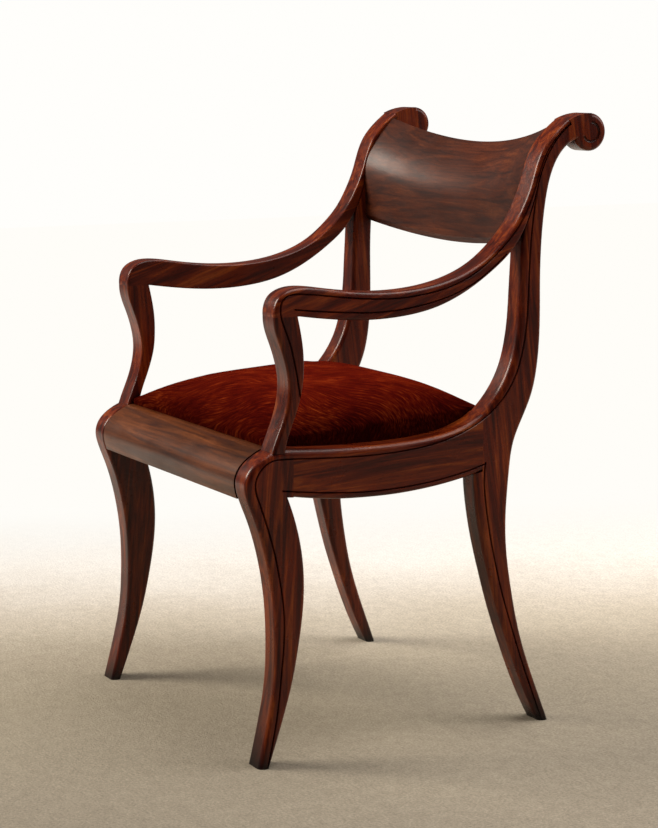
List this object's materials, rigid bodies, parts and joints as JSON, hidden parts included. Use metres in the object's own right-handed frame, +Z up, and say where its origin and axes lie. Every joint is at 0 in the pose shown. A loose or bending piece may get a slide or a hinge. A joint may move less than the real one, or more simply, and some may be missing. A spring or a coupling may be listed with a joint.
{
  "type": "klismos armchair",
  "caption": "Klismos armchair with sabre legs, scrolled arms and back, a curved crest rail and a lift-out upholstered seat.",
  "frame": {"origin": "on the floor, under the middle of the chair's box", "axes": "+X to the sitter's left, +Y to the back of the chair, +Z up"},
  "size_m": [0.5254, 0.5682, 0.8613],
  "materials": {
    "mahogany": "satin polish",
    "beech": "bare",
    "dowel_wood": "bare",
    "steel": "plain",
    "tack_steel": "blued",
    "webbing": "woven jute",
    "hessian": "open weave",
    "padding": "soft",
    "velvet": "pile",
    "dust_cloth": "plain weave"
  },
  "bodies": {
    "frame": {"left_front_leg": "mahogany", "right_front_leg": "mahogany", "left_side_rail": "mahogany", "right_side_rail": "mahogany", "left_back_post": "mahogany", "right_back_post": "mahogany", "left_arm": "mahogany", "right_arm": "mahogany", "left_arm_support": "mahogany", "right_arm_support": "mahogany", "front_rail": "mahogany", "rear_rail": "mahogany", "crest_rail": "mahogany", "front_left_corner_block": "beech", "front_right_corner_block": "beech", "rear_left_corner_block": "beech", "rear_right_corner_block": "beech", "corner_block_screws": "steel", "arm_support_dowels": "dowel_wood", "arm_dowels": "dowel_wood"},
    "slip_seat": {"seat_frame_left": "beech", "seat_frame_right": "beech", "seat_frame_front": "beech", "seat_frame_back": "beech", "seat_frame_dowels": "dowel_wood", "seat_webbing": "webbing", "webbing_tacks": "tack_steel", "seat_hessian": "hessian", "seat_padding": "padding", "seat_cover": "velvet", "dust_cover": "dust_cloth"}
  },
  "joints": [
    {"name": "seat_lift", "type": "slide", "parent": "frame", "child": "slip_seat", "axis": [0, 0, 1], "range_m": [0, 0.25]}
  ]
}
